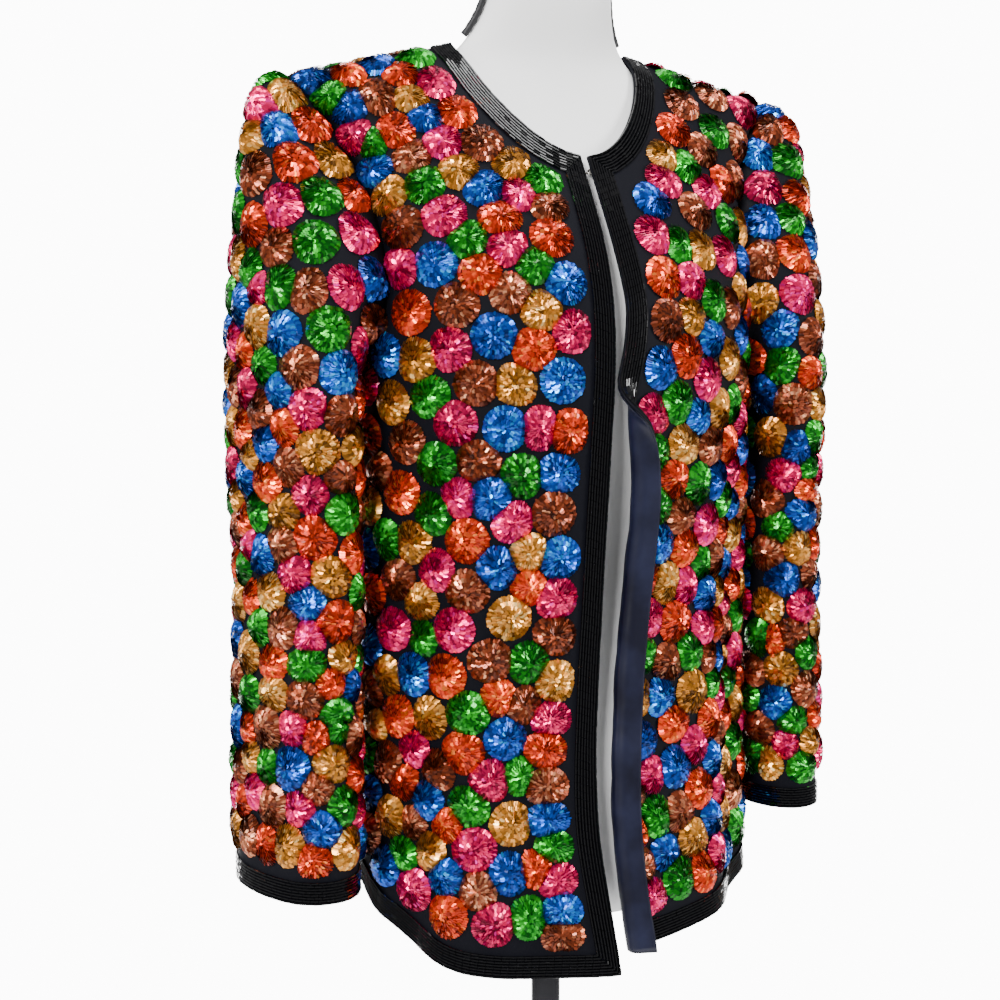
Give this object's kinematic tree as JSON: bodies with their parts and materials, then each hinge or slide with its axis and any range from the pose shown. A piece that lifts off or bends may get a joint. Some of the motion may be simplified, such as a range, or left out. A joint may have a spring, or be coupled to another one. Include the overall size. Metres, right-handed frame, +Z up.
{
  "type": "sequin jacket on a dress form",
  "caption": "Collarless hip-length jacket with long set-in sleeves, covered in raised oval sequin domes, worn on a limbless dress form with a stand",
  "frame": {"origin": "centre of the underside of the stand's round base, on the floor", "axes": "+Z up along the pole; the jacket's front faces -Y and the wearer's right side is -X"},
  "size_m": [0.5165, 0.36, 1.4726],
  "materials": {
    "ground_silk": "fine navy silk ground cloth, soft sheen",
    "bugle_beads": "glossy black glass bugle beads",
    "satin_facing": "dark navy satin",
    "linen": "plain white linen, matt",
    "piping": "black corded piping",
    "steel": "dark polished steel",
    "fastening": "black enamelled wire",
    "base_paint": "satin black paint"
  },
  "bodies": {
    "root": {"front_right": "ground_silk", "front_left": "ground_silk", "back": "ground_silk", "sleeve_right": "ground_silk", "sleeve_left": "ground_silk", "border_front_right": "bugle_beads", "border_front_left": "bugle_beads", "border_back_neck": "bugle_beads", "border_back_hem": "bugle_beads", "border_cuff_right": "bugle_beads", "border_cuff_left": "bugle_beads", "facing_left": "satin_facing", "hook": "fastening", "eye": "fastening", "dress_form": "linen", "form_piping_right": "piping", "form_piping_left": "piping", "flange": "steel", "pole": "steel", "base": "base_paint"}
  },
  "joints": []
}
